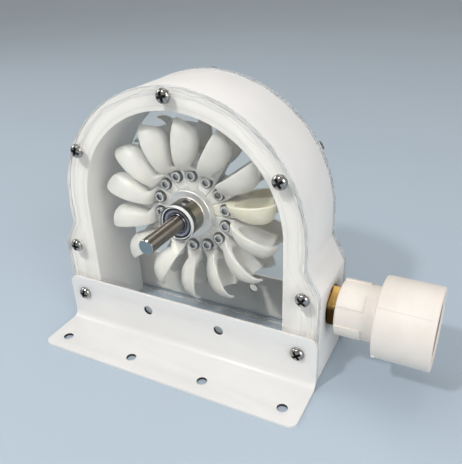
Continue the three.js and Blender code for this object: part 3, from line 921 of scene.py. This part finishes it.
def bearing_profiles(width):
    """Profiles of a bearing's rings as (radius, depth behind its outer face) pairs."""
    return {
        "outer_race": [(OUTER_RACE_INSIDE, 0.5), (8.38, 0.1), (8.5, 0), (8.95, 0), (BEARING_RADIUS, 0.45),
                       (BEARING_RADIUS, width - 0.4), (BEARING_SIDE, width), (OUTER_RACE_INSIDE, width),
                       (OUTER_RACE_INSIDE, 0.5)],
        "seal_lip": [(SEAL_INSIDE, 0.6), (7.6, 0.4), (7.95, 0.42), (OUTER_RACE_INSIDE, 0.7),
                     (OUTER_RACE_INSIDE, 1.3), (SEAL_INSIDE, 1.3), (SEAL_INSIDE, 0.6)],
        "shield": [(5.55, 0.75), (5.7, 0.35), (5.95, 0.28), (6.1, 0.6), (6.3, 0.3), (6.75, 0.25), (6.9, 0.5),
                   (7.1, 0.3), (7.3, 0.35), (SEAL_INSIDE, 0.65), (SEAL_INSIDE, 1.2), (5.55, 1.2),
                   (5.55, 0.75)],
        "inner_race": [(BORE_RADIUS, 0.5), (4.4, 0.1), (4.7, 0), (5.1, 0), (INNER_RACE, 0.3),
                       (INNER_RACE, width - 0.3), (5.1, width), (4.7, width), (4.4, width - 0.1),
                       (BORE_RADIUS, width - 0.5), (BORE_RADIUS, 0.5)],
    }


def on_bearing_side(face):
    """True on the bearing's side, beyond its outer face."""
    return math.hypot(face.center.x - AXIS.x, face.center.z - AXIS.z) > BEARING_SIDE * MM


def make_bearings():
    """Outer race, seal, shield and inner race of each bearing, their faces outwards."""
    for side, flip in (("front", 1), ("rear", -1)):
        low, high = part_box(side + "_bearing_outer")
        face = Vector((AXIS.x, low.y if flip == 1 else high.y, AXIS.z))
        rings = {}
        for part, profile in bearing_profiles((high.y - low.y) / MM).items():
            facing = [(radius, depth * flip) for radius, depth in profile]
            rings[part] = turned(f"{side}_{part}", facing, face, steps=96)
            smooth(rings[part], 25 if part.endswith("race") else 35)
        rings["outer_race"].data.materials.append(FINISH["bearing"])
        # Painted shade: the outer race's side and chamfer take the near-black recess finish, a dark line
        # where it meets its seat
        paint(rings["outer_race"], FINISH["recess"], on_bearing_side)
        dress(rings["outer_race"], "frame", FINISH["bearing"], "bearing_steel", side + "_bearing_outer")
        dress(rings["seal_lip"], "frame", FINISH["seal"], "bearing_steel")
        dress(rings["shield"], "frame", FINISH["shield"], "bearing_steel")
        # The inner race's dark finish is painted shade, where the shaft shades it
        dress(rings["inner_race"], "runner", FINISH["race"], "bearing_steel", side + "_bearing_inner")


def make_shaft():
    """Round bar with its chamfers in a brighter finish as a painted highlight, and a dull faced end."""
    low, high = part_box("shaft")
    length = (high.y - low.y) / MM
    end = SHAFT_RADIUS - SHAFT_CHAMFER
    shaft = turned("round_shaft", [
        (0, 0), (end, 0), (SHAFT_RADIUS, SHAFT_CHAMFER), (SHAFT_RADIUS, length - SHAFT_CHAMFER),
        (end, length), (0, length)], Vector((AXIS.x, low.y, AXIS.z)), steps=96)
    smooth(shaft, 25)
    shaft.data.materials.append(FINISH["shaft"])
    # Painted highlight: the chamfers take the brighter screw finish
    paint(shaft, FINISH["screw"], lambda face: abs(face.normal.y) > 0.4)
    paint(shaft, FINISH["shaft_end"], lambda face: abs(face.normal.y) > 0.9)
    dress(shaft, "runner", FINISH["shaft"], "shaft_steel", "shaft")


def make_coupling():
    """Turned flange with a long boss, and a set screw in the boss."""
    low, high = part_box("coupling")
    nose = Vector((AXIS.x, low.y, AXIS.z))
    length = (high.y - low.y) / MM
    step = length - FLANGE_THICK
    body = turned("flange_coupling", [
        (BORE_RADIUS, 0.4), (4.4, 0), (BOSS_RADIUS - 0.4, 0), (BOSS_RADIUS, 0.4), (BOSS_RADIUS, step - 0.3),
        (BOSS_RADIUS + 0.3, step), (FLANGE_RADIUS - 0.3, step), (FLANGE_RADIUS, step + 0.3),
        (FLANGE_RADIUS, length), (BORE_RADIUS, length), (BORE_RADIUS, 0.4)], nose, steps=128)
    angle = math.radians(SET_SCREW_ANGLE)
    out = Vector((math.cos(angle), 0, math.sin(angle)))
    middle = nose + Vector((0, SET_SCREW_ALONG * MM, 0))
    cut(body, rod("set_screw_hole", SET_SCREW_HOLE, middle + out * 5 * MM, middle + out * 12 * MM, 32))
    smooth(body, 25)
    body.data.materials.append(FINISH["flange"])
    paint(body, FINISH["boss"], lambda face: face.center.y < low.y + (step - 0.2) * MM)
    # Painted shade: the wall of the set screw's hole takes the near-black recess finish
    paint(body, FINISH["recess"],
          lambda face: (face.center - middle).cross(out).length < (SET_SCREW_HOLE + 0.05) * MM)
    dress(body, "runner", FINISH["flange"], "coupling_steel", "coupling")
    # The set screw is in the near-black recess finish too, painted shade at the bottom of its hole
    grub = rod("set_screw", SET_SCREW_HOLE - 0.05, middle + out * 4.5 * MM, middle + out * 7.2 * MM, 32)
    cut(grub, rod("socket", 0.9, middle + out * 6 * MM, middle + out * 8 * MM, 6))
    soften(grub, 0.12)
    dress(grub, "runner", FINISH["recess"], "plated_screw")


def make_hub():
    """Disc behind the buckets' roots."""
    low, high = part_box("hub_disc")
    thick = (high.y - low.y) / MM
    edge = 0.4
    disc = turned("rear_hub_disc", [
        (BORE_RADIUS, 0), (HUB_RADIUS - edge, 0), (HUB_RADIUS, edge), (HUB_RADIUS, thick - edge),
        (HUB_RADIUS - edge, thick), (BORE_RADIUS, thick), (BORE_RADIUS, 0)],
        Vector((AXIS.x, low.y, AXIS.z)), steps=128)
    smooth(disc, 25)
    dress(disc, "runner", FINISH["ivory"], "bucket_plastic", "hub_disc")


# Buckets, modelled with their length along +X from the runner's axis

def egg(name, inner, outer, spread, width, depth):
    """Egg-shaped body of one cup on its rim plane, wider and deeper towards its tip."""
    clear_selection()
    bpy.ops.mesh.primitive_uv_sphere_add(segments=64, ring_count=32, radius=1)
    piece = bpy.context.active_object
    piece.name = name
    piece.rotation_euler.y = math.pi / 2
    piece.scale = (depth * MM, width * MM, (outer - inner) / 2 * MM)
    fix_place(piece)
    modify(piece, "SIMPLE_DEFORM", deform_method="TAPER", deform_axis="X", factor=CUP_WIDENING,
           lock_z=True)
    modify(piece, "SIMPLE_DEFORM", deform_method="TAPER", deform_axis="X", factor=CUP_DEEPENING,
           lock_y=True)
    piece.location = ((inner + outer) / 2 * MM, -spread * MM, RIM * MM)
    fix_place(piece)
    return piece


def both_sides(piece):
    modify(piece, "MIRROR", use_axis=(False, True, False), use_clip=False, use_mirror_merge=False)
    return piece


def root_part(name, outline):
    """Straight-sided part of the root from (radius, offset) pairs."""
    half = ROOT_THICK / 2 * MM
    return prism(name, [(radius * MM, -half, offset * MM) for radius, offset in outline], (0, 2 * half, 0))


def neck_flare(cup):
    """Taut skin from the end of the root to the near end of the cup."""
    flare = copy_of(cup, "neck_flare")
    edit(flare)
    pick(flare, "verts", lambda point: point.co.x > 27 * MM or point.co.z > RIM * MM)
    bpy.ops.mesh.delete(type="VERT")
    leave_edit()
    join(flare, root_part("root_end", [(23, -4.5), (24, -4.6), (24, 4.2), (23, 4.2)]))
    edit(flare)
    bpy.ops.mesh.select_all(action="SELECT")
    bpy.ops.mesh.convex_hull()
    return close_up(flare)


def smooth_neck(body):
    """Melts the root into the cups, fading in over the neck's first 2 mm and out over its last 6 mm."""
    neck = body.vertex_groups.new(name="neck")
    for point in body.data.vertices:
        radius = point.co.x / MM
        weight = min(max((radius - NECK_START) / 2, 0), 1) * min(max((NECK_END - radius) / 6, 0), 1)
        neck.add([point.index], weight, "REPLACE")
    modify(body, "SMOOTH", factor=0.5, iterations=14, vertex_group="neck")


def notch_cutter():
    """Bite out of the bucket's tip, wider towards the back of the cups."""
    edge = [(48.3, 0), (46.9, 1.1), (46.4, 2.4), (46.7, 4.2), (48.2, 5.6), (51.4, 7.9), (56, 10.4)]
    outline = edge + [(radius, -across) for radius, across in reversed(edge[1:])]
    near, far, widening = 15, -20, 0.045
    wide_near, wide_far = 1 - widening * (near - RIM), 1 + widening * (RIM - far)
    cutter = chain("notch", [(radius * MM, across * wide_near * MM, near * MM) for radius, across in outline])
    bpy.ops.mesh.select_all(action="SELECT")
    bpy.ops.mesh.edge_face_add()
    bpy.ops.mesh.extrude_region_move(TRANSFORM_OT_translate={"value": (0, 0, (far - near) * MM)})
    bpy.ops.transform.resize(value=(1, wide_far / wide_near, 1), center_override=(0, 0, 0))
    return close_up(cutter)


def model_bucket():
    """Two cups side by side on a tapered root, hollowed, notched at the tip and rounded all over."""
    inner, outer = CUP_CENTRE - CUP_LENGTH, CUP_CENTRE + CUP_LENGTH
    cup = egg("bucket_model", inner - NECK_LAP, outer, CUP_SPREAD, CUP_WIDTH, CUP_DEPTH)
    flare = neck_flare(cup)
    root = root_part("root", [(9.8, -2.19), (19.5, -4.4), (25.5, -4.8), (33.0, -4.9),
                              (33.0, 4.2), (25.5, 4.3), (19.5, 4.4), (9.8, 2.19)])
    body = join(both_sides(cup), both_sides(flare), root)
    modify(body, "REMESH", mode="VOXEL", voxel_size=COARSE_MESH * MM)
    smooth_neck(body)
    cut(body, block("above_rim", (8 * MM, -30 * MM, RIM * MM), (70 * MM, 30 * MM, 30 * MM)))
    cut(body, both_sides(egg("pocket", inner + NECK_WALL, outer - CUP_WALL, CUP_SPREAD - 0.12,
                             CUP_WIDTH - SIDE_WALL, CUP_DEPTH - CUP_WALL)))
    cut(body, notch_cutter())
    modify(body, "REMESH", mode="VOXEL", voxel_size=FINE_MESH * MM)
    modify(body, "SMOOTH", factor=0.5, iterations=3)
    modify(body, "DECIMATE", ratio=min(1, BUCKET_TRIANGLES / (2 * len(body.data.polygons))))
    smooth(body, 60)
    return body


def bucket_angle(number):
    """Turn of a bucket round the axis, in radians, where the first is number 1."""
    return math.radians(FIRST_BUCKET + 360 / BUCKETS * (number - 1))


def make_buckets():
    """The bucket copied round the axis, one of them yellowed with age."""
    model = model_bucket()
    for number in range(1, BUCKETS + 1):
        bucket = copy_of(model, f"cup_bucket_{number:02d}")
        bucket.rotation_euler.y = -bucket_angle(number)
        bucket.location = AXIS
        fix_place(bucket)
        finish = FINISH["aged" if number == AGED_BUCKET else "ivory"]
        dress(bucket, "runner", finish, "bucket_plastic", f"bucket_{number:02d}")
    bpy.data.objects.remove(model)


def make_cap_screws():
    """Socket head screws that hold the buckets, standing proud of their roots."""
    model = turned("cap", [
        (0, -1.8), (1.6, -1.8), (1.85, -CAP_RISE), (2.55, -CAP_RISE), (2.75, -1.72), (3.05, -1.45),
        (CAP_RADIUS, -1.1), (CAP_RADIUS, -0.1), (3.4, -0.08), (3.45, 0), (3.45, 0.3), (0, 0.3)], ORIGIN)
    # Painted highlight and shade: the crown keeps the paler finish, and the flank and seat take the dark one
    model.data.materials.append(FINISH["cap"])
    paint(model, FINISH["cap_side"], lambda face: face.center.y > -1.7 * MM)
    socket = turned("socket", [(0, -3), (2.0, -3), (2.0, -1.84), (1.6, -1.5), (1.5, -0.8), (0, -0.7)], ORIGIN)
    # The socket's walls are near-black painted shade; its floor keeps plain nickel
    socket.data.materials.append(FINISH["recess"])
    paint(socket, FINISH["screw"], lambda face: face.center.y > -0.78 * MM and face.normal.y > 0.5)
    combine(socket, rod("hex", 1.95, (0, -3 * MM, 0), (0, 0, 0), 6), "INTERSECT")
    cut(model, socket)
    smooth(model, 30)
    for number in range(1, BUCKETS + 1):
        angle = bucket_angle(number)
        cap = copy_of(model, f"cap_screw_{number:02d}")
        cap.rotation_euler.y = math.radians(29 * (number - 1))
        cap.location = AXIS + Vector((math.cos(angle) * SCREW_RING, -ROOT_THICK / 2,
                                      math.sin(angle) * SCREW_RING)) * MM
        fix_place(cap)
        dress(cap, "runner", FINISH["cap"], "plated_screw")
    bpy.data.objects.remove(model)


# Nipple and adapter

def make_nipple():
    """Threaded brass nipple with a bare stretch for its hexagon, between the housing and the adapter."""
    low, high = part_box("nozzle_nipple")
    centre = Vector((low.x, 0, NOZZLE_HEIGHT * MM))
    length = (high.x - low.x) / MM
    hex_start = (AXIS.x + LOWER_HALF - low.x) / MM + 0.3
    hex_end = (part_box("pipe_adapter")[0].x - low.x) / MM - 0.3
    end = NIPPLE_CORE + 0.1
    profile = [(NIPPLE_BORE, 0), (end, 0)]
    for step in range(int((length - 1) / RIDGE_STEP)):
        along = 0.5 + RIDGE_STEP * step
        bare = hex_start - 0.8 < along < hex_end + 0.8
        profile.append((NIPPLE_CORE if bare else RIDGE_RADIUS - 0.5 * (step % 2), along))
    profile += [(end, length), (NIPPLE_BORE, length), (NIPPLE_BORE, 0)]
    body = turned("threaded_nipple", profile, centre, "X", 64)
    smooth(body, 20)
    along_x = Vector((MM, 0, 0))
    flats = rod("hex", NIPPLE_HEX, centre + along_x * hex_start, centre + along_x * hex_end, 6)
    cut(flats, rod("bore", NIPPLE_CORE - 0.1, centre, centre + along_x * length))
    soften(flats, 0.35, angle=20)
    join(body, flats)
    dress(body, "frame", FINISH["brass"], "nipple_brass", "nozzle_nipple")


def ring_point(radius, angle, along):
    """Offset from the adapter's start: a radius in mm at an angle round its axis, and a way along it."""
    return Vector((along, radius * math.cos(angle), radius * math.sin(angle))) * MM


def adapter_pad(start, first):
    """Low curved pad along the small end, from a first angle, rounded by the bevel that follows."""
    angles = [math.radians(first + PAD_WIDTH / 8 * step) for step in range(9)]
    outline = [start + ring_point(SMALL_END + PAD_RISE, angle, PAD_START) for angle in angles]
    outline += [start + ring_point(SMALL_END - 1, angle, PAD_START) for angle in reversed(angles)]
    return prism("pad", outline, (PAD_LENGTH * MM, 0, 0))


def adapter_ridge(name, start, radius, out, degrees, first, last):
    """Small round ridge along the large end, its middle at a distance out from the axis."""
    angle = math.radians(degrees)
    return rod(name, radius, start + ring_point(out, angle, first), start + ring_point(out, angle, last), 16)


def make_adapter():
    """Stepped adapter with pads round its small end, a mould line and a gate mark on its large end."""
    low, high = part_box("pipe_adapter")
    start = Vector((low.x, 0, NOZZLE_HEIGHT * MM))
    length = (high.x - low.x) / MM
    step, small, large, floor = ADAPTER_STEP, SMALL_END, LARGE_END, length - SOCKET_DEPTH
    body = turned("pipe_adapter_body", [
        (ADAPTER_THROAT, 0), (small - 2.2, 0), (small - 0.8, 0.35), (small - 0.15, 1.1), (small, 2.2),
        (small, step - 0.6), (small + 0.4, step), (large - 1.0, step), (large - 0.25, step + 0.3),
        (large, step + 1.0), (large, length - 0.5), (large - 0.4, length), (SOCKET_RADIUS + 0.7, length),
        (SOCKET_RADIUS, length - 0.8), (SOCKET_RADIUS, floor), (12.3, floor), (12.3, step - 3),
        (ADAPTER_THROAT, step - 3), (ADAPTER_THROAT, 0)], start, "X", 128)
    for number in range(PADS):
        combine(body, adapter_pad(start, 115 + 360 / PADS * number), "UNION")
    mould_line = adapter_ridge("mould_line", start, 0.5, large - 0.34, 135, step + 0.8, length - 0.8)
    combine(body, mould_line, "UNION")
    gate_mark = adapter_ridge("gate_mark", start, 1.1, large - 0.4, 217, step + 0.4, step + 2.0)
    combine(body, gate_mark, "UNION")
    soften(body, 0.3, angle=25)

    def in_socket(face):
        """True on the inside of the pipe socket."""
        reach = math.hypot(face.center.y, face.center.z - start.z)
        return face.center.x > start.x + step * MM and reach < (SOCKET_RADIUS + 0.3) * MM

    body.data.materials.append(FINISH["pvc"])
    # Painted shade: the inside of the socket takes the darker finish
    paint(body, FINISH["socket"], in_socket)
    dress(body, "frame", FINISH["pvc"], "adapter_pvc", "pipe_adapter")


# Camera, light and floor

def make_camera():
    """Camera where the photograph was taken from."""
    camera = bpy.data.objects.new("camera", bpy.data.cameras.new("camera"))
    bpy.context.scene.collection.objects.link(camera)
    camera.data.lens = LENS
    camera.data.sensor_width = 36
    camera.data.clip_start = 0.01
    turn, tilt, roll = (math.radians(angle) for angle in (CAMERA_TURN, 90 - CAMERA_DOWN, CAMERA_ROLL))
    look = Matrix.Rotation(turn, 4, "Z") @ Matrix.Rotation(tilt, 4, "X") @ Matrix.Rotation(roll, 4, "Z")
    camera.matrix_world = Matrix.Translation(CAMERA_PLACE) @ look
    bpy.context.scene.camera = camera


def add_light(name, turn, rise, reach, size, power):
    """Round lamp at a turn left of the front and a rise above the ground, in degrees, facing the part."""
    lamp = bpy.data.lights.new(name, "AREA")
    lamp.shape = "DISK"
    lamp.size = size
    lamp.energy = power
    holder = bpy.data.objects.new(name, lamp)
    bpy.context.scene.collection.objects.link(holder)
    turn, rise = math.radians(turn), math.radians(rise)
    flat = math.cos(rise)
    place = Vector((-math.sin(turn) * flat, -math.cos(turn) * flat, math.sin(rise))) * reach
    holder.location = place
    holder.rotation_euler = (Vector((0, 0, 0.05)) - place).to_track_quat("-Z", "Y").to_euler()


def make_studio():
    """Pale floor, a small key light, three softboxes and an even grey sky."""
    clear_selection()
    bpy.ops.mesh.primitive_circle_add(vertices=96, radius=6, fill_type="NGON", location=(0, 0, 0))
    floor = bpy.context.active_object
    floor.name = "floor"
    material, tree, shader, place = new_material("pale_floor", Roughness=0.5)
    surface(tree, shader, (grain(tree, place, 300), "#AEBDCB", "#B8C6D3", 0, 1))
    floor.data.materials.append(material)
    for name, lamp in LAMPS.items():
        add_light(name, *lamp)
    world = bpy.data.worlds.new("studio")
    bpy.context.scene.world = world
    world.use_nodes = True
    fill(world.node_tree, world.node_tree.nodes["Background"], {"Color": linear("#E6E4E0"), "Strength": 0.56})
    bpy.context.scene.view_settings.view_transform = "Standard"


make_camera()
make_housing()
make_covers()
make_sealant()
make_brackets()
make_screws()
make_nuts()
make_bearings()
make_shaft()
make_coupling()
make_hub()
make_buckets()
make_cap_screws()
make_nipple()
make_adapter()
make_studio()
